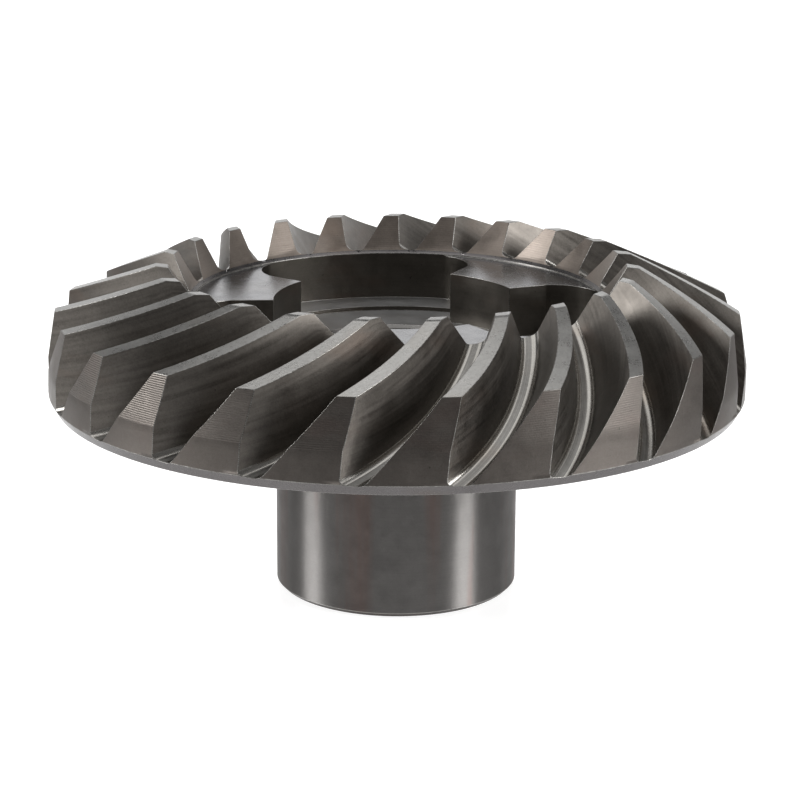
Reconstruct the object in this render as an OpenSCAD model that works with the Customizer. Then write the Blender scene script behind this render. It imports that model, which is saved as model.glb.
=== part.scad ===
// Reverse gear of an outboard drive: a spiral bevel gear with a tubular hub and three dogs in its mouth.
// Millimetres. The origin is the centre of the hub's end face and +Z runs up the bore to the teeth.

/* [Rim] */
// Outside diameter of the gear body
rim_d = 100; // [96:0.5:104]
// Height of the bevel under the rim
rim_bevel_h = 1.4; // [0.8:0.1:2.4]
// Width of the bevel under the rim
rim_bevel_w = 0.8; // [0.4:0.1:1.6]
// Height of the straight band at the foot of the tooth ends
heel_band_h = 5.7; // [4:0.1:8]

/* [Teeth] */
// Number of teeth
teeth = 23; // [21:1:25]
// Diameter of the tooth tips at the outer end
heel_tip_d = 97.7; // [93:0.1:99]
// Height of the tooth tips at the outer end above the back face
heel_tip_h = 12.7; // [11:0.1:14]
// Diameter of the tooth tips at the inner end
toe_tip_d = 65.3; // [63:0.1:68]
// Height of the tooth tips at the inner end above the back face
toe_tip_h = 19.1; // [17.5:0.1:21]
// Width of the level strip faced on the inner end of the tips
tip_flat_w = 1.75; // [0.5:0.05:3]
// Radius of the face mill that cuts the slots
mill_r = 42.5; // [40:0.5:46]
// Spiral angle at the middle of the face
spiral = 34.7; // [31:0.1:38]
// Width of a slot at its floor
floor_w = 2.1; // [1.4:0.1:2.6]
// Slope of the slot's outer, hollow side
hollow_slope = 11; // [8:0.5:14]
// Slope of the slot's inner, full side
full_slope = 24.3; // [21:0.1:27]
// Bevel in the corners of the slot's floor
floor_bevel = 0.4; // [0.1:0.05:0.6]
// Height of the slot floor at the rim, on its middle line
floor_rim_h = 0.8; // [0.4:0.1:2]
// Height of the slot floor at the mouth, on its middle line
floor_mouth_h = 13.6; // [13.2:0.1:15]
// Sideways set of the mill from the middle line
mill_shift = 2.8; // [0:0.1:5]
// Turn of the first slot about the axis
slot_turn = -86.9; // [-94:0.1:-78]

/* [Mouth] */
// Diameter of the mouth inside the ring of teeth
mouth_d = 58.7; // [56:0.1:60]
// Height of the mouth's edge above the back face
mouth_h = 14.35; // [13.6:0.05:15.2]
// Bevel round the mouth's edge
mouth_bevel = 0.45; // [0.2:0.05:0.55]
// Depth of the mouth
mouth_depth = 7.4; // [5.5:0.1:9]
// Diameter of the thrust seat sunk in the mouth's floor
seat_d = 47; // [42:0.5:52]
// Depth of the thrust seat
seat_depth = 0.65; // [0.3:0.05:1.5]

/* [Dogs] */
// Number of dogs
dogs = 3; // [2:1:4]
// Diameter of the round hole between the dogs
dog_in_d = 35.5; // [32:0.1:40]
// Angle each dog takes up
dog_angle = 40.6; // [30:0.1:46]
// Drop of the dogs' tops below the mouth's edge
dog_drop = 0.6; // [0.6:0.05:2]
// Radius of the fillet between a dog and the wall
dog_fillet_r = 6.8; // [4:0.1:7.5]
// Turn of the first dog about the axis
dog_turn = -76.6; // [-136:0.1:-16]

/* [Hub] */
// Outside diameter of the hub, a bearing seat
hub_d = 35; // [33:0.1:38]
// Length of the hub below the back face
hub_l = 28.4; // [20:0.1:36]
// Bevel on the hub's end
hub_bevel = 0.6; // [0.3:0.1:1.2]
// Diameter of the bore
bore_d = 28; // [24:0.1:29]
// Bevel at both ends of the bore
bore_bevel = 0.5; // [0.2:0.1:1]
// Diameter of the shoulder a bearing's ring sits against
shoulder_d = 44; // [41:0.5:50]
// Height of the shoulder below the back face
shoulder_h = 1.5; // [0.5:0.1:3]

/* [Hidden] */
// Margin by which a cutter passes the surface it opens
over = 1;
// Height a cutter reaches above its slot's floor
mill_h = 11;
// Share of the fillet's radius at which its centre stands off the two walls
fillet_set = 0.96;
rim_r = rim_d / 2;
mouth_r = mouth_d / 2;
mouth_top_r = mouth_r + mouth_bevel;
dog_top = hub_l + mouth_h - dog_drop;
mouth_floor = hub_l + mouth_h - mouth_depth;
seat_floor = mouth_floor - seat_depth;
dog_half = dog_angle / 2;
// The slot's floor lies in a plane that leans by this angle
floor_lean = atan2(floor_mouth_h - floor_rim_h, rim_r - mouth_top_r);
mid_r = (rim_r + mouth_top_r) / 2;
mid_z = hub_l + (floor_rim_h + floor_mouth_h) / 2;
mill_x = -mill_r * sin(spiral);
mill_y = mill_shift - mill_r * cos(spiral);
// The sector the mill sweeps, from outside the rim to inside the mouth
sweep_from = 20;
sweep_to = 95;
$fn = 120;

// Half section of the turned blank, hub and shoulder included
module blank_section() {
    polygon([
        [0, 0],
        [hub_d / 2 - hub_bevel, 0],
        [hub_d / 2, hub_bevel],
        [hub_d / 2, hub_l - shoulder_h],
        [shoulder_d / 2, hub_l - shoulder_h],
        [shoulder_d / 2, hub_l],
        [rim_r - rim_bevel_w, hub_l],
        [rim_r, hub_l + rim_bevel_h],
        [rim_r, hub_l + heel_band_h],
        [heel_tip_d / 2, hub_l + heel_tip_h],
        [toe_tip_d / 2 + tip_flat_w, hub_l + toe_tip_h],
        [toe_tip_d / 2, hub_l + toe_tip_h],
        [mouth_top_r, hub_l + mouth_h],
        [mouth_r, hub_l + mouth_h - mouth_bevel],
        [mouth_r, dog_top],
        [0, dog_top]
    ]);
}

// Section of one slot across the mill: a floor with bevelled corners between two slopes
module slot_section() {
    half = floor_w / 2;
    polygon([
        [mill_r - half + floor_bevel, 0],
        [mill_r + half - floor_bevel, 0],
        [mill_r + half + floor_bevel * tan(hollow_slope), floor_bevel],
        [mill_r + half + mill_h * tan(hollow_slope), mill_h],
        [mill_r - half - mill_h * tan(full_slope), mill_h],
        [mill_r - half - floor_bevel * tan(full_slope), floor_bevel]
    ]);
}

// The space one pass of the mill takes out
module slot() {
    translate([mid_r, 0, mid_z])
    rotate([0, floor_lean, 0])
    translate([mill_x, mill_y, 0])
    rotate_extrude(angle = sweep_to - sweep_from, start = sweep_from)
    slot_section();
}

module slots() {
    for (i = [0 : teeth - 1]) {
        rotate([0, 0, slot_turn + i * 360 / teeth]) slot();
    }
}

// Corner between a dog's side and the wall, hollowed by the fillet
module dog_corner(side) {
    stand = dog_fillet_r * fillet_set;
    centre_r = mouth_r - stand;
    lead = asin(stand / centre_r);
    centre_a = dog_half + lead;
    centre = centre_r * [cos(centre_a), side * sin(centre_a)];
    inside = [cos(dog_half / 2), side * sin(dog_half / 2)];
    far = mouth_r + over;
    difference() {
        polygon([
            centre,
            centre_r * cos(lead) * inside,
            far * inside,
            far * [cos(dog_half), side * sin(dog_half)],
            far * [cos(centre_a), side * sin(centre_a)]
        ]);
        translate(centre) circle(r = dog_fillet_r);
    }
}

// Outline of one dog, from the round hole between the dogs to inside the wall
module dog_outline() {
    far = mouth_r + over;
    difference() {
        union() {
            polygon([
                [0, 0],
                far * [cos(dog_half), -sin(dog_half)],
                [far + over, 0],
                far * [cos(dog_half), sin(dog_half)]
            ]);
            dog_corner(1);
            dog_corner(-1);
        }
        circle(d = dog_in_d);
    }
}

// Outline of the space round the dogs inside a circle of the given diameter
module space_outline(d) {
    difference() {
        circle(d = d);
        for (i = [0 : dogs - 1]) {
            rotate(dog_turn + i * 360 / dogs) dog_outline();
        }
    }
}

module gear() {
    color([0.30, 0.29, 0.28])
    difference() {
        rotate_extrude() blank_section();
        slots();
        translate([0, 0, mouth_floor])
        linear_extrude(height = dog_top + over - mouth_floor) space_outline(mouth_d);
        translate([0, 0, seat_floor])
        linear_extrude(height = seat_depth + over) space_outline(seat_d);
        translate([0, 0, -over]) cylinder(d = bore_d, h = hub_l + mouth_h);
        translate([0, 0, -over])
        cylinder(d1 = bore_d + 2 * (bore_bevel + over), d2 = bore_d - 2 * over, h = bore_bevel + 2 * over);
        translate([0, 0, seat_floor - bore_bevel - over])
        cylinder(d1 = bore_d - 2 * over, d2 = bore_d + 2 * (bore_bevel + over), h = bore_bevel + 2 * over);
    }
}

gear();
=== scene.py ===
"""Looks of the reverse gear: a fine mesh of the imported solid, its steel finishes, studio and camera."""

import math

import bmesh
import bpy
import numpy as np
from mathutils import Matrix, Vector


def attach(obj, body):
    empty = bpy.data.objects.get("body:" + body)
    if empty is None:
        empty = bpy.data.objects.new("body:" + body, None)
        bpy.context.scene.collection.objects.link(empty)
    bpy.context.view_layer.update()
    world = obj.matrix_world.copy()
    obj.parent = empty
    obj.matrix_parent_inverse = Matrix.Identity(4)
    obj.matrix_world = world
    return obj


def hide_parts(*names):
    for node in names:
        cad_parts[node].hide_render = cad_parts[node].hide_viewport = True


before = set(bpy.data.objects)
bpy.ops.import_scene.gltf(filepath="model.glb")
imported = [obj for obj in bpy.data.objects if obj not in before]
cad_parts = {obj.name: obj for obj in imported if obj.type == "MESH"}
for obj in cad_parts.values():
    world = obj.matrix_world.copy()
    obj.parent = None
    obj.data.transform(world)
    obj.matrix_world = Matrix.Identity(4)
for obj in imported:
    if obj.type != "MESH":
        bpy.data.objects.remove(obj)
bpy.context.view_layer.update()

# Units, in metres
MM = 0.001
MICROMETRE = 1e-6

# Sizes of the gear in millimetres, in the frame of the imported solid
HUB_L = 28.4
HUB_R = 17.5
HUB_BEVEL = 0.6
BORE_R = 14.0
BORE_BEVEL = 0.5
SHOULDER_R = 22.0
SHOULDER_H = 1.5
RIM_R = 50.0
RIM_BEVEL_H = 1.4
RIM_BEVEL_W = 0.8
RIM_TOP_Z = HUB_L + RIM_BEVEL_H
BAND_Z = HUB_L + 5.7
HEEL_TIP_R = 48.85
HEEL_TIP_Z = HUB_L + 12.7
TOE_TIP_R = 32.65
TOE_TIP_Z = HUB_L + 19.1
TIP_FLAT_W = 1.75
MOUTH_R = 29.35
MOUTH_BEVEL = 0.45
MOUTH_TOP_R = MOUTH_R + MOUTH_BEVEL
MOUTH_Z = HUB_L + 14.35
MOUTH_FLOOR_Z = MOUTH_Z - 7.4
SEAT_R = 23.5
SEAT_Z = MOUTH_FLOOR_Z - 0.65

# Slots between the teeth, swept by a face mill
TEETH = 23
PITCH = 2 * math.pi / TEETH
MILL_R = 42.5
SPIRAL = math.radians(34.7)
FLOOR_W = 2.1
HOLLOW_SLOPE = math.radians(11)
FULL_SLOPE = math.radians(24.3)
SLOT_FILLET_R = 0.85
FLOOR_RIM_Z = HUB_L + 0.8
FLOOR_MOUTH_Z = HUB_L + 13.6
MILL_SHIFT = 2.8
SLOT_TURN = math.radians(-86.9)

# Dogs in the mouth
DOGS = 3
DOG_IN_R = 17.75
DOG_HALF = math.radians(20.3)
DOG_TOP_Z = MOUTH_Z - 0.6
DOG_FILLET_R = 6.8
DOG_FILLET_SET = 0.96
DOG_TURN = math.radians(-76.6)

# Fineness of the mesh, in steps
FACE_STEPS = 40
FLAT_STEPS = 4
BAND_ROWS = 3
CONE_ROWS = 5
FILLET_STEPS = 6
FLOOR_STEPS = 3
LAND_STEPS = 4
LATHE_STEPS = 192
HUB_ROWS = 8
BORE_ROWS = 7
DOG_STEPS = 12
DOG_FILLET_STEPS = 9
GAP_STEPS = 15

# Lines of the mesh on the sides of the dogs, between their ends
DOG_LINES_R = (19.8, 21.7)
DOG_LINE_Z = 38.3
DOG_LEVELS = np.array([DOG_TOP_Z, DOG_LINE_Z, MOUTH_FLOOR_Z, SEAT_Z])

# Points nearer than MERGE become one, and edges that turn by more than SHARP_FROM are sharp
MERGE = 0.0004
SHARP_FROM = math.radians(26)
# Decimals to which angles are compared
ANGLE_DIGITS = 9
# Setback of the ring of points where the mouth's edge meets the teeth
CREASE = 0.02
# Width and steps of the worn edges
EDGE_WEAR = 0.07
EDGE_STEPS = 2

# Search for a slot's side: the angles it lies between, and how often they are halved
SEARCH_FROM = -0.9
SEARCH_TO = 1.5
HALVINGS = 48
# Search for a line of the slot's section: first share of height, trial step, longest move and rounds
FIRST_SHARE = 0.15
TRIAL_STEP = 1e-5
LONGEST_MOVE = 0.1
ROUNDS = 30

# The leaning frame of a slot: along its floor, square to the floor, and the mill's centre
LEAN = math.atan2(FLOOR_MOUTH_Z - FLOOR_RIM_Z, RIM_R - MOUTH_TOP_R)
ALONG = np.array([math.cos(LEAN), 0, -math.sin(LEAN)])
ACROSS = np.array([0, 1, 0])
ABOVE = np.array([math.sin(LEAN), 0, math.cos(LEAN)])
FACE_MIDDLE = np.array([(RIM_R + MOUTH_TOP_R) / 2, 0, (FLOOR_RIM_Z + FLOOR_MOUTH_Z) / 2])
MILL_CENTRE = (
    FACE_MIDDLE
    - ALONG * MILL_R * math.sin(SPIRAL)
    + ACROSS * (MILL_SHIFT - MILL_R * math.cos(SPIRAL))
)

# Finishes: colour from dark to light, stain, and roughness. Streaks have cells to the millimetre along
# and across the cut. A name in -y or -ed is the strength of a mark, and one in _um its micrometres.
# Lines and beads are given by their spacing in millimetres; the beads on edges are painted glints. Lines
# start at a height, lines_from, and fade between two places in X, a painted glint that leaves them
# strongest on the -X side.
# The rim tint darkens the sheen at grazing angles.
LOOKS = {
    "flank": dict(
        dark=(0.103, 0.094, 0.084), light=(0.204, 0.187, 0.169), stain=(0.166, 0.13, 0.108),
        rough=0.46, streak=(0.05, 1.5), streaky=0.36, streak_um=3.5, grit_um=1.2, gritty=0.2,
    ),
    # The fillet's colour, lighter than the flank and floor beside it, is a painted highlight along the
    # root of each slot
    "fillet": dict(
        dark=(0.19, 0.18, 0.166), light=(0.4, 0.386, 0.362), stain=(0.28, 0.232, 0.19),
        rough=0.27, streak=(0.06, 3.0), streaky=0.3, streak_um=1.2, grit_um=0.3, gritty=0.1,
    ),
    "floor": dict(
        dark=(0.085, 0.081, 0.075), light=(0.25, 0.243, 0.23), stain=(0.16, 0.133, 0.112),
        rough=0.34, streak=(0.05, 3.4), streaky=0.42, streak_um=2.0, grit_um=0.6, gritty=0.14,
    ),
    "land": dict(
        dark=(0.235, 0.229, 0.218), light=(0.40, 0.393, 0.38), stain=(0.27, 0.245, 0.22),
        rough=0.30, streak=(0.5, 3.0), streaky=0.08, streak_um=1.0, grit_um=2.4, gritty=0.24,
    ),
    # The heel's turned lines fade along X: their stronger tone on the -X side is a painted glint
    "heel": dict(
        dark=(0.116, 0.103, 0.093), light=(0.177, 0.16, 0.146), stain=(0.154, 0.123, 0.111),
        rough=0.42, streak=(0.15, 5.0), streaky=0.06, streak_um=0.4, grit_um=1.6, gritty=0.2,
        lines=0.29, lined=0.06, lines_um=12.0, lines_from=BAND_Z, lines_fade=(-30.0, 12.0),
    ),
    "toe": dict(
        dark=(0.15, 0.127, 0.108), light=(0.25, 0.217, 0.192), stain=(0.20, 0.155, 0.125),
        rough=0.36, streak=(0.15, 5.0), streaky=0.08, streak_um=1.0, grit_um=1.5,
        lines=0.3, lined=0.04, lines_um=1.5,
    ),
    "rim": dict(
        dark=(0.092, 0.086, 0.086), light=(0.14, 0.133, 0.133), stain=(0.112, 0.097, 0.09),
        rough=0.28, streak=(0.05, 6.0), streaky=0.1, streak_um=0.6, grit_um=0.8,
    ),
    "back": dict(
        dark=(0.15, 0.142, 0.134), light=(0.25, 0.24, 0.23), stain=(0.19, 0.16, 0.142),
        rough=0.34, streak=(0.04, 5.0), streaky=0.1, streak_um=1.0, grit_um=1.0,
        lines=0.32, lined=0.08, lines_um=3.0,
    ),
    "hub": dict(
        dark=(0.118, 0.113, 0.109), light=(0.18, 0.174, 0.169), stain=(0.16, 0.12, 0.109),
        rough=0.41, streak=(0.03, 7.0), streaky=0.12, streak_um=0.15, grit_um=0.15, pitted=0,
        brushed=1.0, rim_tint=0.6, stained=0.9, stain_cells=(0.2, 0.2, 0.012),
    ),
    # The hub's bottom bevel, where it stands on the floor: a dark brownish line, partly oxide and partly
    # painted shade at the contact
    "foot": dict(
        dark=(0.045, 0.04, 0.037), light=(0.08, 0.071, 0.066), stain=(0.06, 0.046, 0.04),
        rough=0.45, streak=(0.05, 5.0), streaky=0.1, streak_um=0.3, grit_um=0.3, pitted=0,
    ),
    "bore": dict(
        dark=(0.12, 0.115, 0.11), light=(0.20, 0.194, 0.188), stain=(0.15, 0.13, 0.12),
        rough=0.32, streak=(0.04, 6.0), streaky=0.1, streak_um=1.0, grit_um=0.6, pitted=0,
    ),
    # The mouth's wall and step: the cheek's steel made darker, a painted shade deep inside the mouth
    "mouth": dict(
        dark=(0.085, 0.077, 0.066), light=(0.14, 0.128, 0.112), stain=(0.115, 0.088, 0.071),
        rough=0.38, streak=(0.06, 4.0), streaky=0.1, streak_um=1.2, grit_um=1.0,
    ),
    "cheek": dict(
        dark=(0.125, 0.114, 0.099), light=(0.2, 0.184, 0.163), stain=(0.155, 0.121, 0.099),
        rough=0.38, streak=(0.06, 4.0), streaky=0.1, streak_um=1.2, grit_um=1.0,
    ),
    "seat": dict(
        dark=(0.27, 0.267, 0.264), light=(0.40, 0.397, 0.394), stain=(0.26, 0.242, 0.23),
        rough=0.5, streak=(0.05, 5.0), streaky=0.1, streak_um=0.8, grit_um=0.6,
        lines=0.35, lined=0.05, lines_um=1.5,
    ),
    "dog": dict(
        dark=(0.19, 0.189, 0.196), light=(0.275, 0.274, 0.285), stain=(0.2, 0.188, 0.183),
        rough=0.24, streak=(0.12, 2.0), streaky=0.06, streak_um=0.3, grit_um=0.5,
    ),
    # The edges' lighter colour is partly wear and partly a painted highlight, and their beads are painted
    # glints
    "edge": dict(
        dark=(0.09, 0.086, 0.079), light=(0.38, 0.37, 0.355), stain=(0.24, 0.225, 0.2),
        rough=0.34, streak=(0.8, 0.8), streaky=0.3, streak_um=1.0, grit_um=1.0, gritty=0.2, glint_beads=0.29,
    ),
}
FINISHES = list(LOOKS)
# Finishes of the sheets of a slot that aren't named after one
SLOT_FINISH = {"full": "flank", "hollow": "flank", "full_fillet": "fillet", "hollow_fillet": "fillet"}

# Noise patterns: cells to the millimetre, detail, and a shift that sets each apart from the others
BLOTCHES = dict(cells=0.11, detail=3, shift=0)
CLOUDS = dict(cells=0.45, detail=3, shift=11)
MOTTLES = dict(cells=1.9, detail=2, shift=17)
GRIT = dict(cells=5.5, detail=2, shift=7)
PITS = dict(cells=1.8, detail=1, shift=31)
STREAKS = dict(detail=3, shift=3)
STAINS = dict(detail=4, shift=23)
NOISE_SPREAD = 4.0
# Millimetres by which the grain shifts from the first tooth to the last, along the cut and in depth
TOOTH_SHIFT = 37.0
SHIFT_WAY = (1.0, 0.0, 1.0)
# Shares of the tone
BLOTCH_TONE = 0.13
CLOUD_TONE = 0.08
MOTTLE_SHARE = 0.6
# Beads on the edges are painted glints
GLINT_BEAD_TONE = 0.2
MIDDLE_TONE = 0.5
# Turned lines: how far they wander, where they set in, and the share that fades away from the -X side, a
# painted glint
LINE_WANDER = 0.6
LINE_START = (-0.05, 0.15)
LINE_FADE = 0.8
# Stains and pits: the stretch of noise over which they grow, the pits' depth and their share of the dark
STAIN_RAMP = (0.15, 0.9)
PIT_RAMP = (1.06, 1.26)
PIT_UM = 4.0
PIT_DARK = 0.35
# How roughness follows the patterns
CLOUD_ROUGH = 0.05
STREAK_ROUGH = 0.2
GRIT_ROUGH = 0.03
# Turn of the brushed highlight, in full turns
BRUSH_TURN = 0.25

# The studio, in metres
FLOOR_REACH = 2.0
BACKDROP_Y = 0.85
BACKDROP_H = 0.6
BACKDROP_BEND = 0.25
BEND_STEPS = 12
SWEEP_GREY = 0.6
GLOW = 0.77
FLOOR_ROUGH = 0.22
FLOOR_SHINE = 1.0
FLOOR_IOR = 2.0
WORLD_LEVEL = 0.22
FLAG_FROM_Y = -0.085
FLAG_SIDE_X = 0.12
FLAG_BACK_Y = 0.35
FLAG_H = 0.001
FLAG_GREY = 0.25
FLAG_ROUGH = 0.9
LAMPS = {
    "top": dict(at=(0.0, 0.08, 0.75), size=(0.95, 0.6), level=1.55),
    "left": dict(at=(-0.63, -0.04, 0.29), size=(0.215, 0.37), level=11.5),
    "right": dict(at=(0.584, -0.235, 0.27), size=(0.22, 0.4), level=11.5),
}

# The camera: sensor and lens in millimetres, the rest in metres and shares of the picture
SENSOR_W = 36.0
LENS = 116.55
SHIFT_X = 0.0039
SHIFT_Y = -0.01125
CLIP_START = 0.01
CAMERA_RISE = math.radians(15.57)
CAMERA_ROLL = math.radians(0.322)
CAMERA_DISTANCE = 0.375
# The middle of the back face, which the camera and the lamps look at
TARGET = Vector((0, 0, HUB_L * MM))


def polar(r, z, a):
    """Points from radii, heights and angles."""
    r, z, a = np.broadcast_arrays(r, z, a)
    return np.stack([r * np.cos(a), r * np.sin(a), z], axis=-1)


def wrap(a):
    """Angles brought to the half turn on either side of zero."""
    return (a + math.pi) % (2 * math.pi) - math.pi


def cell_corners(grid):
    """The four corners of each cell of a grid, in turn."""
    return np.stack([grid[:-1, :-1], grid[:-1, 1:], grid[1:, 1:], grid[1:, :-1]], 2)


def grain_of(points):
    """Grain coordinates of a sheet: millimetres along its rows and across them."""
    along = np.linalg.norm(np.diff(points, axis=1), axis=-1)
    across = np.linalg.norm(np.diff(points, axis=0), axis=-1)
    u = np.concatenate([np.zeros((len(points), 1)), np.cumsum(along, 1)], 1)
    v = np.concatenate([np.zeros((1, points.shape[1])), np.cumsum(across, 0)], 0)
    return np.stack([u, v], -1)


def grain_round(r, a, across):
    """Grain coordinates of a turned sheet: millimetres around the axis, and those given across."""
    around, across = np.broadcast_arrays(r * a, across)
    return np.stack([around, across], -1)


def from_mill(r, z, a):
    """Distance from the mill's axis and height over the slot's floor."""
    arm = polar(r, z, a) - MILL_CENTRE
    height = arm @ ABOVE
    return np.linalg.norm(arm - height[..., None] * ABOVE, axis=-1), height


def heel_line(v):
    """The outer end of the teeth, from inside the rim's bevel up to the tip."""
    z = HUB_L + v * (HEEL_TIP_Z - HUB_L)
    levels = [HUB_L, RIM_TOP_Z, BAND_Z, HEEL_TIP_Z]
    radii = [RIM_R - RIM_BEVEL_W, RIM_R, RIM_R, HEEL_TIP_R]
    return np.interp(z, levels, radii), z


def toe_line(v):
    """The inner end of the teeth, from below the mouth's edge up to the tip."""
    low = MOUTH_Z - MOUTH_BEVEL
    z = low + v * (TOE_TIP_Z - low)
    r = MOUTH_TOP_R + (z - MOUTH_Z) * (TOE_TIP_R - MOUTH_TOP_R) / (TOE_TIP_Z - MOUTH_Z)
    return r, z


def station(s, v):
    """Radius and height at share v of the tooth's height.

    s runs from 0 at the heel by 1 at the bend of the tip to 2 at the toe.
    """
    heel_r, heel_z = heel_line(v)
    toe_r, toe_z = toe_line(v)
    w = np.clip(s, 0, 1)
    flat = np.clip(s - 1, 0, 1)
    r = heel_r + (toe_r + TIP_FLAT_W - heel_r) * w - TIP_FLAT_W * flat
    return r, heel_z + (toe_z - heel_z) * w


def flank_angle(r, z, side):
    """Angle at which the slot's side lies at this radius and height.

    Side 1 is the hollow one and side -1 the full one.
    """
    slope = math.tan(HOLLOW_SLOPE if side > 0 else FULL_SLOPE)
    low = np.full(np.shape(r), SEARCH_FROM)
    high = np.full(np.shape(r), SEARCH_TO)
    for _ in range(HALVINGS):
        middle = (low + high) / 2
        distance, height = from_mill(r, z, middle)
        past = distance > MILL_R + side * (FLOOR_W / 2 + height * slope)
        high = np.where(past, middle, high)
        low = np.where(past, low, middle)
    return (low + high) / 2


def on_station(s, distance, height):
    """Share of height and angle at which a station meets a line of the slot's section."""
    v = np.full(np.shape(s), FIRST_SHARE)
    a = flank_angle(*station(s, v), 1 if distance > MILL_R else -1)
    for _ in range(ROUNDS):
        here = np.stack(from_mill(*station(s, v), a), -1)
        by_v = (np.stack(from_mill(*station(s, v + TRIAL_STEP), a), -1) - here) / TRIAL_STEP
        by_a = (np.stack(from_mill(*station(s, v), a + TRIAL_STEP), -1) - here) / TRIAL_STEP
        slip = here - [distance, height]
        det = by_v[..., 0] * by_a[..., 1] - by_v[..., 1] * by_a[..., 0]
        move_v = (slip[..., 0] * by_a[..., 1] - slip[..., 1] * by_a[..., 0]) / det
        move_a = (by_v[..., 0] * slip[..., 1] - by_v[..., 1] * slip[..., 0]) / det
        v = v - np.clip(move_v, -LONGEST_MOVE, LONGEST_MOVE)
        a = a - np.clip(move_a, -LONGEST_MOVE, LONGEST_MOVE)
    return v, a


class Skin:
    """Collects sheets of quads, with a finish, a tooth number and grain coordinates in millimetres."""

    def __init__(self):
        self.points = []
        self.faces = []
        self.grain = []
        self.finish = []
        self.tooth = []
        self.count = 0

    def sheet(self, points, grain, finish, tooth=0.0):
        """Quads between neighbouring rows and columns of points."""
        rows, columns = points.shape[:2]
        index = self.count + np.arange(rows * columns).reshape(rows, columns)
        quads = cell_corners(index).reshape(-1, 4)
        self.count += rows * columns
        self.points.append(points.reshape(-1, 3))
        self.faces.append(quads)
        self.grain.append(cell_corners(grain).reshape(-1, 2))
        self.finish += [FINISHES.index(finish)] * len(quads)
        self.tooth += [tooth] * len(quads)

    def lathe(self, profile, angles, finish):
        """A turned surface: profile holds radius and height pairs, angles close on themselves."""
        turn = np.append(angles, angles[0] + 2 * math.pi)
        line = np.array(profile, float)
        run = np.append(0, np.cumsum(np.hypot(*np.diff(line, axis=0).T)))
        points = polar(line[:, 0, None], line[:, 1, None], turn)
        self.sheet(points, grain_round(line[:, 0, None], turn, run[:, None]), finish)

    def washer(self, r0, angles0, r1, angles1, z, finish, z1=None):
        """A flat or conical ring between two circles whose points stand at different angles."""
        z1 = z if z1 is None else z1
        every = np.concatenate([angles0, angles1]) % (2 * math.pi)
        both = np.unique(np.round(every, ANGLE_DIGITS))
        near0 = angles0[np.argmin(np.abs(wrap(both[:, None] - angles0[None, :])), axis=1)]
        near1 = angles1[np.argmin(np.abs(wrap(both[:, None] - angles1[None, :])), axis=1)]
        turn0 = np.append(near0, near0[0])
        turn1 = np.append(near1, near1[0])
        points = np.stack([polar(r0, z, turn0), polar(r1, z1, turn1)])
        around = np.append(both, both[0] + 2 * math.pi)
        radii = np.array([[r0], [r1]])
        self.sheet(points, grain_round(radii, around, radii), finish)

    def build(self, name):
        """The mesh object: points that coincide are merged and the normals face outward."""
        mesh = bpy.data.meshes.new(name)
        faces = np.concatenate(self.faces)
        mesh.from_pydata((np.concatenate(self.points) * MM).tolist(), [], faces.tolist())
        mesh.polygons.foreach_set("material_index", self.finish)
        grain = mesh.attributes.new("grain", "FLOAT_VECTOR", "CORNER")
        flat = np.concatenate(self.grain)
        grain.data.foreach_set("vector", np.column_stack([flat, 0 * flat[:, 0]]).ravel())
        tooth = mesh.attributes.new("tooth", "FLOAT", "FACE")
        tooth.data.foreach_set("value", self.tooth)
        work = bmesh.new()
        work.from_mesh(mesh)
        bmesh.ops.remove_doubles(work, verts=work.verts, dist=MERGE * MM)
        bmesh.ops.dissolve_degenerate(work, edges=work.edges, dist=MERGE * MM)
        bmesh.ops.recalc_face_normals(work, faces=work.faces)
        work.to_mesh(mesh)
        work.free()
        mesh.shade_smooth()
        mesh.set_sharp_from_angle(angle=SHARP_FROM)
        piece = bpy.data.objects.new(name, mesh)
        bpy.context.collection.objects.link(piece)
        return piece


def side_lines(s, side, slope):
    """Lines along one side of a slot and along its fillet, and half the width of the flat floor."""
    band_v = (BAND_Z - HUB_L) / (HEEL_TIP_Z - HUB_L)
    half = FLOOR_W / 2
    reach = SLOT_FILLET_R * math.tan((math.pi / 2 - slope) / 2)
    flat = half - reach
    foot_at = half + reach * math.sin(slope)
    foot_v, _ = on_station(s, MILL_R + side * foot_at, reach * math.cos(slope))
    lower = [foot_v + (band_v - foot_v) * j / BAND_ROWS for j in range(BAND_ROWS)]
    upper = [band_v + (1 - band_v) * j / CONE_ROWS + 0 * s for j in range(CONE_ROWS + 1)]
    flank = [(v, flank_angle(*station(s, v), side)) for v in lower + upper]
    fillet = []
    for k in range(1, FILLET_STEPS):
        turn = -slope + (slope - math.pi / 2) * k / FILLET_STEPS
        distance = flat + SLOT_FILLET_R * math.cos(turn)
        height = SLOT_FILLET_R * (1 + math.sin(turn))
        fillet.append(on_station(s, MILL_R + side * distance, height))
    return flank, fillet, flat


def slot_lines():
    """Lines along one slot, from the top of its full side over the floor to the top of its hollow side."""
    s = np.concatenate([np.linspace(0, 1, FACE_STEPS + 1), np.linspace(1, 2, FLAT_STEPS + 1)[1:]])
    full, full_fillet, full_flat = side_lines(s, -1, FULL_SLOPE)
    hollow, hollow_fillet, hollow_flat = side_lines(s, 1, HOLLOW_SLOPE)
    floor = []
    for k in range(FLOOR_STEPS + 1):
        distance = -full_flat + (hollow_flat + full_flat) * k / FLOOR_STEPS
        floor.append(on_station(s, MILL_R + distance, 0.0))
    lines = {
        "full": full[::-1],
        "full_fillet": [full[0]] + full_fillet + [floor[0]],
        "floor": floor,
        "hollow_fillet": [floor[-1]] + hollow_fillet[::-1] + [hollow[0]],
        "hollow": hollow,
    }
    return s, lines


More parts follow.
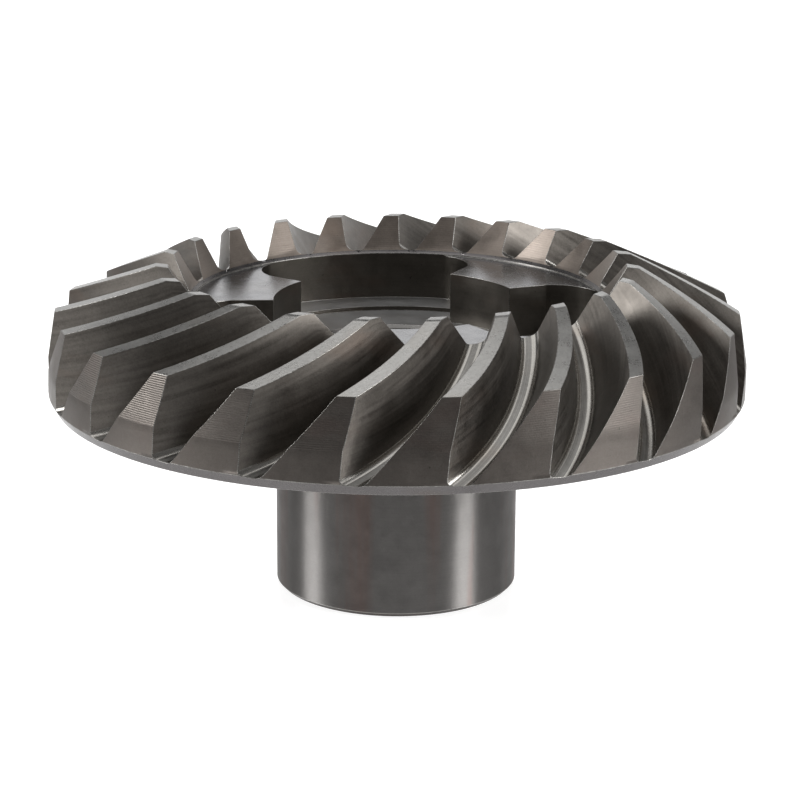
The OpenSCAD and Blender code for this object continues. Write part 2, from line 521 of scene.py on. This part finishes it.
def slot_sheets(s, lines):
    """Radii, heights and angles of the sheets of one slot and of the land beside it."""
    sheets = {}
    for name, group in lines.items():
        v = np.array([line[0] for line in group])
        a = np.array([line[1] for line in group])
        sheets[name] = *station(s[None, :], v), a
    share = np.linspace(0, 1, LAND_STEPS + 1)[:, None]
    left = lines["hollow"][-1][1]
    right = lines["full"][0][1] + PITCH
    tip = station(s, np.ones_like(s))
    sheets["land"] = tuple(np.broadcast_arrays(*tip, left + share * (right - left)))
    return sheets


def line_ends(group, at):
    """Shares of height and angles at one end of a group of lines."""
    v = np.array([line[0][at] for line in group])
    a = np.array([line[1][at] for line in group])
    return v, a


def tooth_end(lines, at, end_line):
    """Radii, heights and angles of one end face of a tooth, in rows from its foot up."""
    share = np.linspace(0, 1, LAND_STEPS + 1)[None, :]
    left_v, left_a = line_ends(lines["hollow"], at)
    right_v, right_a = line_ends(lines["full"][::-1], at)
    v = left_v[:, None] + (right_v - left_v)[:, None] * share
    a = left_a[:, None] + (right_a + PITCH - left_a)[:, None] * share
    return *end_line(v), a


def pitch_foot(s, lines, at, face):
    """Radii, heights and angles round the foot of one pitch: through the slot, then along a tooth."""
    root = lines["full_fillet"][:-1] + lines["floor"][:-1] + lines["hollow_fillet"][:-1]
    v, a = line_ends(root, at)
    slot = np.stack([*station(s[at], v), a])
    tooth = np.stack([part[0, :-1] for part in face])
    return np.concatenate([slot, tooth], 1)


def add_teeth(skin):
    """The toothed ring. Gives the ring of points at the rim, and the angles of the one at the mouth."""
    s, lines = slot_lines()
    sheets = slot_sheets(s, lines)
    ends = {"heel": (0, heel_line), "toe": (-1, toe_line)}
    faces = {end: tooth_end(lines, at, end_line) for end, (at, end_line) in ends.items()}
    foot_of = {end: pitch_foot(s, lines, at, faces[end]) for end, (at, _) in ends.items()}
    feet = {"heel": [], "toe": []}
    for i in range(TEETH):
        turn = SLOT_TURN + i * PITCH
        for name, (r, z, a) in sheets.items():
            points = polar(r, z, a + turn)
            # The full side of a slot gets another number, so that its grain isn't the hollow side's
            number = i + 0.5 if name == "full" else i
            skin.sheet(points, grain_of(points), SLOT_FINISH.get(name, name), number / TEETH)
        for end, (r, z, a) in faces.items():
            skin.sheet(polar(r, z, a + turn), grain_round(r, a + turn, z), end, i / TEETH)
            feet[end].append(foot_of[end] + [[0], [0], [turn]])
    edges = {"heel": (RIM_R, RIM_TOP_Z), "toe": (MOUTH_TOP_R - CREASE, MOUTH_Z - CREASE)}
    rings = {}
    for end, (edge_r, edge_z) in edges.items():
        foot = np.concatenate(feet[end], 1)
        foot = np.concatenate([foot, foot[:, :1] + [[0], [0], [2 * math.pi]]], 1)
        ring = np.stack([np.full_like(foot[0], edge_r), np.full_like(foot[1], edge_z), foot[2]])
        if end == "heel":
            # A slot's floor runs out a little below the top of the rim's bevel
            ring[:2] = np.where(foot[1] < RIM_TOP_Z, foot[:2], ring[:2])
        both = np.stack([foot, ring], 1)
        skin.sheet(polar(*both), grain_round(RIM_R, both[2], both[1]), end)
        rings[end] = ring
    return rings["heel"], rings["toe"][2, :-1]


def dog_fillet():
    """Angles from the dog's middle and radii along the fillet, from the dog's side to the wall."""
    stand = DOG_FILLET_R * DOG_FILLET_SET
    centre_r = MOUTH_R - stand
    lead = math.asin(stand / centre_r)
    centre = centre_r * np.exp(1j * (DOG_HALF + lead))
    side_r = centre_r * math.cos(lead) + math.sqrt(DOG_FILLET_R**2 - stand**2)
    reach = math.acos((centre_r**2 + MOUTH_R**2 - DOG_FILLET_R**2) / (2 * centre_r * MOUTH_R))
    start = side_r * np.exp(1j * DOG_HALF)
    end = MOUTH_R * np.exp(1j * (DOG_HALF + lead - reach))
    turn = np.angle((end - centre) / (start - centre))
    share = np.linspace(0, 1, DOG_FILLET_STEPS + 1)
    arc = centre + (start - centre) * np.exp(1j * turn * share)
    return np.angle(arc), np.abs(arc)


def add_dog(skin, turn, dog_a, side_r, fillet):
    """One dog: its flat top, the two corners that its fillets fill, its sides and its inner face."""
    arc_a, arc_r = fillet
    dog_r = np.append(side_r, MOUTH_R)
    top = polar(dog_r[:, None], DOG_TOP_Z, dog_a + turn)
    skin.sheet(top, top[..., :2], "dog")
    corner_r = np.stack([arc_r, np.full_like(arc_r, MOUTH_R)])
    for sign in (1, -1):
        corner = polar(corner_r, DOG_TOP_Z, sign * arc_a + turn)
        skin.sheet(corner, corner[..., :2], "dog")
        side_a = sign * DOG_HALF + turn
        side = polar(side_r[:-1], DOG_LEVELS[:, None], side_a)
        skin.sheet(side, grain_of(side), "cheek")
        over_floor = polar(side_r[-2:], DOG_LEVELS[:-1, None], side_a)
        skin.sheet(over_floor, grain_of(over_floor), "cheek")
    inner = polar(DOG_IN_R, DOG_LEVELS[:, None], dog_a + turn)
    skin.sheet(inner, grain_of(inner), "cheek")


def add_gap(skin, turn, gap_a, gap_r, seat_r):
    """The space between two dogs: its wall, the mouth's floor, the step and the sunk seat."""
    # The wall takes the darker mouth finish, a painted shade inside the mouth
    wall = polar(gap_r, DOG_LEVELS[:-1, None], gap_a + turn)
    skin.sheet(wall, grain_of(wall), "mouth")
    floor_r = np.stack([np.full_like(gap_r, SEAT_R), gap_r])
    floor = polar(floor_r, MOUTH_FLOOR_Z, gap_a + turn)
    skin.sheet(floor, grain_round(floor_r, gap_a, floor_r), "seat")
    step = polar(SEAT_R, np.array([[MOUTH_FLOOR_Z], [SEAT_Z]]), gap_a + turn)
    skin.sheet(step, grain_of(step), "mouth")
    seat = polar(seat_r, SEAT_Z, gap_a + turn)
    skin.sheet(seat, grain_round(seat_r, gap_a, seat_r), "seat")


def add_mouth(skin, toe_angles):
    """The mouth: its dogs, gaps and edge. Gives the angles of its ring of points."""
    arc_a, arc_r = dog_fillet()
    third = 2 * math.pi / DOGS
    dog_a = np.linspace(-DOG_HALF, DOG_HALF, DOG_STEPS + 1)
    wall_a = np.linspace(arc_a[-1], third - arc_a[-1], GAP_STEPS + 1)[1:-1]
    gap_a = np.concatenate([arc_a, wall_a, third - arc_a[::-1]])
    gap_r = np.concatenate([arc_r, np.full_like(wall_a, MOUTH_R), arc_r[::-1]])
    side_r = np.array([DOG_IN_R, *DOG_LINES_R, SEAT_R, arc_r[0]])
    seat_r = np.append(BORE_R + BORE_BEVEL, side_r[:-1])[:, None]
    lip_r = seat_r[:2]
    ring = []
    for k in range(DOGS):
        turn = DOG_TURN + k * third
        ring += [dog_a[:-1] + turn, gap_a[:-1] + turn]
        add_dog(skin, turn, dog_a, side_r, (arc_a, arc_r))
        add_gap(skin, turn, gap_a, gap_r, seat_r)
        # The strip of the seat between the bore and the dog
        lip = polar(lip_r, SEAT_Z, dog_a + turn)
        skin.sheet(lip, grain_round(lip_r, dog_a, lip_r), "seat")
    angles = np.concatenate(ring)
    edge_z = MOUTH_Z - MOUTH_BEVEL
    skin.lathe([(MOUTH_R, DOG_TOP_Z), (MOUTH_R, edge_z)], angles, "mouth")
    skin.washer(MOUTH_R, angles, MOUTH_TOP_R - CREASE, toe_angles, edge_z, "rim", z1=MOUTH_Z - CREASE)
    return angles


def add_body(skin, rim_ring, mouth_angles):
    """The rim's bevel, the back face, the shoulder, the hub and the bore."""
    angles = np.linspace(0, 2 * math.pi, LATHE_STEPS, endpoint=False)
    rim_a = rim_ring[2]
    back_r = RIM_R - RIM_BEVEL_W
    rim_bevel = np.stack([polar(*rim_ring), polar(back_r, HUB_L, rim_a)])
    skin.sheet(rim_bevel, grain_round(RIM_R, rim_a, np.array([[RIM_BEVEL_H], [0]])), "rim")
    skin.washer(back_r, rim_a[:-1], SHOULDER_R, angles, HUB_L, "back")
    shoulder_z = HUB_L - SHOULDER_H
    skin.lathe([(SHOULDER_R, HUB_L), (SHOULDER_R, shoulder_z), (HUB_R, shoulder_z)], angles, "back")
    hub_z = np.linspace(shoulder_z, HUB_BEVEL, HUB_ROWS + 1)
    skin.lathe([(HUB_R, z) for z in hub_z], angles, "hub")
    end_r = HUB_R - HUB_BEVEL
    # The bottom bevel's dark finish is partly oxide and partly painted shade where the hub meets the floor
    skin.lathe([(HUB_R, HUB_BEVEL), (end_r, 0)], angles, "foot")
    bore_edge_r = BORE_R + BORE_BEVEL
    skin.washer(end_r, angles, bore_edge_r, mouth_angles, 0.0, "back")
    bore_z = np.linspace(BORE_BEVEL, SEAT_Z - BORE_BEVEL, BORE_ROWS + 1)
    bore = [(bore_edge_r, 0)] + [(BORE_R, z) for z in bore_z] + [(bore_edge_r, SEAT_Z)]
    skin.lathe(bore, mouth_angles, "bore")


def gear_skin():
    """The whole gear as one mesh."""
    skin = Skin()
    rim_ring, toe_angles = add_teeth(skin)
    mouth_angles = add_mouth(skin, toe_angles)
    add_body(skin, rim_ring, mouth_angles)
    return skin.build("gear_skin")


class Nodes:
    """A short way to write a steel finish as nodes."""

    def __init__(self, name):
        self.material = bpy.data.materials.new(name)
        self.material.use_nodes = True
        self.tree = self.material.node_tree
        self.shader = self.tree.nodes["Principled BSDF"]
        self.shader.inputs["Metallic"].default_value = 1
        texture = self.add("ShaderNodeTexCoord")
        self.place = self.vector("SCALE", texture.outputs["Object"], scale=1 / MM)
        self.grain = self.add("ShaderNodeAttribute", attribute_name="grain").outputs["Vector"]
        self.tooth = self.add("ShaderNodeAttribute", attribute_name="tooth").outputs["Fac"]

    def add(self, kind, **settings):
        """A new node with the given settings."""
        node = self.tree.nodes.new(kind)
        for key, value in settings.items():
            setattr(node, key, value)
        return node

    def put(self, socket, value):
        """Sets a socket to a plain value, or links it to another socket."""
        if isinstance(value, bpy.types.NodeSocket):
            self.tree.links.new(value, socket)
        else:
            socket.default_value = value

    def math(self, operation, *values, clamp=False):
        node = self.add("ShaderNodeMath", operation=operation, use_clamp=clamp)
        for socket, value in zip(node.inputs, values):
            self.put(socket, value)
        return node.outputs[0]

    def vector(self, operation, a, b=None, scale=None):
        node = self.add("ShaderNodeVectorMath", operation=operation)
        self.put(node.inputs[0], a)
        if b is not None:
            self.put(node.inputs[1], b)
        if scale is not None:
            self.put(node.inputs["Scale"], scale)
        return node.outputs["Vector"]

    def axis(self, vector, letter):
        """One coordinate of a vector."""
        node = self.add("ShaderNodeSeparateXYZ")
        self.put(node.inputs[0], vector)
        return node.outputs[letter]

    def noise(self, vector, cells, detail, shift):
        """Noise from about -1 to 1, with cells to the millimetre alike on all axes or for each axis."""
        node = self.add("ShaderNodeTexNoise")
        stretch = cells if isinstance(cells, tuple) else (cells, cells, cells)
        moved = self.vector("MULTIPLY", vector, stretch)
        self.put(node.inputs["Vector"], self.vector("ADD", moved, (shift, shift, shift)))
        node.inputs["Scale"].default_value = 1
        node.inputs["Detail"].default_value = detail
        return self.math("MULTIPLY_ADD", node.outputs["Fac"], NOISE_SPREAD, -NOISE_SPREAD / 2)

    def ramp(self, value, low, high):
        """0 below low, 1 above high and smooth between."""
        node = self.add("ShaderNodeMapRange", interpolation_type="SMOOTHSTEP")
        self.put(node.inputs["Value"], value)
        node.inputs["From Min"].default_value = low
        node.inputs["From Max"].default_value = high
        return node.outputs["Result"]

    def blend(self, share, a, b):
        """A colour between a and b, each a socket or three numbers."""
        node = self.add("ShaderNodeMix", data_type="RGBA")
        self.put(node.inputs["Factor"], share)
        self.put(node.inputs["A"], a if isinstance(a, bpy.types.NodeSocket) else (*a, 1))
        self.put(node.inputs["B"], b if isinstance(b, bpy.types.NodeSocket) else (*b, 1))
        return node.outputs["Result"]

    def sum(self, *terms):
        """Weighted sum of sockets, given as pairs of weight and socket."""
        total = 0.0
        for weight, socket in terms:
            total = self.math("MULTIPLY_ADD", socket, weight, total)
        return total


def turned_lines(n, cloud, spacing, start, fade):
    """A wave across the grain: lines left by the lathe, from a height on, that fade along X, a painted
    glint kept on the -X side.
    """
    across = n.axis(n.grain, "Y")
    wander = n.math("MULTIPLY", cloud, LINE_WANDER)
    wave = n.math("SINE", n.math("MULTIPLY_ADD", across, 2 * math.pi / spacing, wander))
    if start is not None:
        low, high = LINE_START
        wave = n.math("MULTIPLY", wave, n.ramp(across, start + low, start + high))
    if fade is not None:
        # Lines fade toward +X: a painted glint that leaves their tone strongest on the -X side
        away_from_glint = n.ramp(n.axis(n.place, "X"), *fade)
        wave = n.math("MULTIPLY", wave, n.math("MULTIPLY_ADD", away_from_glint, -LINE_FADE, 1.0))
    return wave


def brush(n, brushed, rim_tint):
    """Highlights drawn out one way, as on turned steel, and a tinted sheen at grazing angles."""
    n.shader.inputs["Anisotropic"].default_value = brushed
    n.shader.inputs["Specular Tint"].default_value = (rim_tint, rim_tint, rim_tint, 1)
    n.shader.inputs["Anisotropic Rotation"].default_value = BRUSH_TURN
    tangent = n.add("ShaderNodeTangent", direction_type="RADIAL", axis="Z")
    n.put(n.shader.inputs["Tangent"], tangent.outputs[0])


def steel(
    name, dark, light, stain, rough, streak, streaky, streak_um, grit_um, gritty=0.14, pitted=0.5,
    lines=0, lined=0, lines_um=0, lines_from=None, lines_fade=None, glint_beads=0,
    brushed=0, rim_tint=1.0, stained=0.55, stain_cells=(0.07, 0.07, 0.16),
):
    """Machined steel: streaks along the cut, grit, blotches, stains, pits and turned lines."""
    n = Nodes("steel_" + name)
    tooth_shift = n.math("MULTIPLY", n.tooth, TOOTH_SHIFT)
    grain = n.vector("ADD", n.grain, n.vector("SCALE", SHIFT_WAY, scale=tooth_shift))
    blotch = n.noise(n.place, **BLOTCHES)
    cloud = n.noise(n.place, **CLOUDS)
    streaks = n.noise(grain, (*streak, 1), **STREAKS)
    grit = n.noise(n.place, **GRIT)
    mottle = n.noise(n.place, **MOTTLES)
    height = [(streak_um, streaks), (grit_um, grit), (grit_um, mottle)]
    tone = [(BLOTCH_TONE, blotch), (CLOUD_TONE, cloud), (streaky, streaks)]
    tone += [(gritty, grit), (MOTTLE_SHARE * gritty, mottle)]
    if lines:
        wave = turned_lines(n, cloud, lines, lines_from, lines_fade)
        height.append((lines_um, wave))
        tone.append((lined, wave))
    # Beads: lighter and darker bands along Z on the edges, painted glints where turned lines cross them
    if glint_beads:
        phase = n.math("MULTIPLY", n.axis(n.place, "Z"), 2 * math.pi / glint_beads)
        tone.append((GLINT_BEAD_TONE, n.math("SINE", phase)))
    share = n.math("ADD", n.sum(*tone), MIDDLE_TONE, clamp=True)
    colour = n.blend(share, dark, light)
    stains = n.ramp(n.noise(n.place, stain_cells, **STAINS), *STAIN_RAMP)
    colour = n.blend(n.math("MULTIPLY", stains, stained), colour, stain)
    if pitted:
        pits = n.ramp(n.noise(n.place, **PITS), *PIT_RAMP)
        pit_colour = tuple(PIT_DARK * c for c in dark)
        colour = n.blend(n.math("MULTIPLY", pits, pitted), colour, pit_colour)
        height.append((-PIT_UM, pits))
    n.put(n.shader.inputs["Base Color"], colour)
    worn = n.sum((CLOUD_ROUGH, cloud), (STREAK_ROUGH * streaky, streaks), (GRIT_ROUGH, grit))
    n.put(n.shader.inputs["Roughness"], n.math("ADD", worn, rough, clamp=True))
    bump = n.add("ShaderNodeBump")
    n.put(bump.inputs["Height"], n.sum(*height))
    bump.inputs["Strength"].default_value = 1
    bump.inputs["Distance"].default_value = MICROMETRE
    n.put(n.shader.inputs["Normal"], bump.outputs[0])
    if brushed:
        brush(n, brushed, rim_tint)
    return n.material


def stage_sheet(name, points, faces, paint, grey, rough):
    """A sheet of the studio in a plain grey, with its material's nodes."""
    mesh = bpy.data.meshes.new(name)
    mesh.from_pydata(points, [], faces)
    sheet = bpy.data.objects.new(name, mesh)
    bpy.context.collection.objects.link(sheet)
    material = bpy.data.materials.new(paint)
    material.use_nodes = True
    shader = material.node_tree.nodes["Principled BSDF"]
    shader.inputs["Base Color"].default_value = (grey, grey, grey, 1)
    shader.inputs["Roughness"].default_value = rough
    mesh.materials.append(material)
    return sheet, material.node_tree, shader


def glow_where_seen(tree, shader):
    """White for the camera and for reflections, without more light on the gear."""
    path = tree.nodes.new("ShaderNodeLightPath")
    seen = path.outputs["Is Camera Ray"]
    for ray in ("Is Glossy Ray", "Is Transmission Ray"):
        either = tree.nodes.new("ShaderNodeMath")
        either.operation = "MAXIMUM"
        tree.links.new(seen, either.inputs[0])
        tree.links.new(path.outputs[ray], either.inputs[1])
        seen = either.outputs[0]
    glow = tree.nodes.new("ShaderNodeMath")
    glow.operation = "MULTIPLY"
    tree.links.new(seen, glow.inputs[0])
    glow.inputs[1].default_value = GLOW
    shader.inputs["Emission Color"].default_value = (1, 1, 1, 1)
    tree.links.new(glow.outputs[0], shader.inputs["Emission Strength"])


def backdrop():
    """A white sweep: floor, bend and wall in one sheet, which keeps the gear's shadow."""
    line = [(-FLOOR_REACH, 0.0)]
    for b in np.linspace(0, math.pi / 2, BEND_STEPS + 1):
        line.append((BACKDROP_Y + BACKDROP_BEND * math.sin(b), BACKDROP_BEND * (1 - math.cos(b))))
    line.append((BACKDROP_Y + BACKDROP_BEND, BACKDROP_H))
    points = [(x, y, z) for y, z in line for x in (-FLOOR_REACH, FLOOR_REACH)]
    faces = [(2 * k, 2 * k + 1, 2 * k + 3, 2 * k + 2) for k in range(len(line) - 1)]
    sweep, tree, shader = stage_sheet("sweep", points, faces, "sweep_white", SWEEP_GREY, FLOOR_ROUGH)
    sweep.data.shade_smooth()
    shader.inputs["Specular IOR Level"].default_value = FLOOR_SHINE
    shader.inputs["IOR"].default_value = FLOOR_IOR
    glow_where_seen(tree, shader)


def flag():
    """A dark card on the floor in front and at both sides, for the steel to reflect.

    It lies outside the picture, and the camera doesn't see it.
    """
    far = FLOOR_REACH
    corners = [
        (-far, -far), (far, -far), (far, FLAG_BACK_Y), (FLAG_SIDE_X, FLAG_BACK_Y),
        (FLAG_SIDE_X, FLAG_FROM_Y), (-FLAG_SIDE_X, FLAG_FROM_Y),
        (-FLAG_SIDE_X, FLAG_BACK_Y), (-far, FLAG_BACK_Y),
    ]
    points = [(x, y, FLAG_H) for x, y in corners]
    faces = [(0, 1, 4, 5), (1, 2, 3, 4), (0, 5, 6, 7)]
    card, _, _ = stage_sheet("flag", points, faces, "flag_grey", FLAG_GREY, FLAG_ROUGH)
    card.visible_camera = False
    card.visible_diffuse = False
    card.visible_shadow = False


def lamps():
    """Soft lamps that look at the gear, the face of each as bright as its level."""
    for name, spec in LAMPS.items():
        width, height = spec["size"]
        lamp = bpy.data.lights.new(name, "AREA")
        lamp.shape = "RECTANGLE"
        lamp.size = width
        lamp.size_y = height
        lamp.energy = spec["level"] * math.pi * width * height
        thing = bpy.data.objects.new(name, lamp)
        thing.location = spec["at"]
        aim = TARGET - thing.location
        thing.rotation_euler = aim.to_track_quat("-Z", "Y").to_euler()
        thing.visible_camera = False
        bpy.context.collection.objects.link(thing)


def studio():
    """White sweep, dark card, plain grey surroundings and three soft lamps."""
    backdrop()
    flag()
    world = bpy.data.worlds.new("studio")
    bpy.context.scene.world = world
    world.use_nodes = True
    background = world.node_tree.nodes["Background"]
    background.inputs["Color"].default_value = (1, 1, 1, 1)
    background.inputs["Strength"].default_value = WORLD_LEVEL
    lamps()


def camera():
    """The photograph's viewpoint."""
    data = bpy.data.cameras.new("camera")
    data.sensor_width = SENSOR_W
    data.lens = LENS
    data.shift_x = SHIFT_X
    data.shift_y = SHIFT_Y
    data.clip_start = CLIP_START
    thing = bpy.data.objects.new("camera", data)
    away = Vector((0, -math.cos(CAMERA_RISE), math.sin(CAMERA_RISE)))
    thing.location = TARGET + CAMERA_DISTANCE * away
    look = (TARGET - thing.location).to_track_quat("-Z", "Y").to_matrix().to_4x4()
    roll = Matrix.Rotation(CAMERA_ROLL, 4, "Z")
    thing.matrix_world = Matrix.Translation(thing.location) @ look @ roll
    bpy.context.collection.objects.link(thing)
    bpy.context.scene.camera = thing


def dress(piece):
    """Steel finishes, and worn, rounded edges in a lighter finish that is partly a painted highlight."""
    for name in FINISHES:
        piece.data.materials.append(steel(name, **LOOKS[name]))
    # The rounded edges take the edge finish, partly a painted highlight
    bevel = piece.modifiers.new("worn edges with painted highlight", "BEVEL")
    bevel.width = EDGE_WEAR * MM
    bevel.segments = EDGE_STEPS
    bevel.limit_method = "ANGLE"
    bevel.angle_limit = SHARP_FROM
    bevel.use_clamp_overlap = False
    bevel.material = FINISHES.index("edge")
    bevel.harden_normals = True


camera()
studio()
gear = gear_skin()
dress(gear)
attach(gear, "root")
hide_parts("gear")
bpy.context.scene.view_settings.view_transform = "Standard"
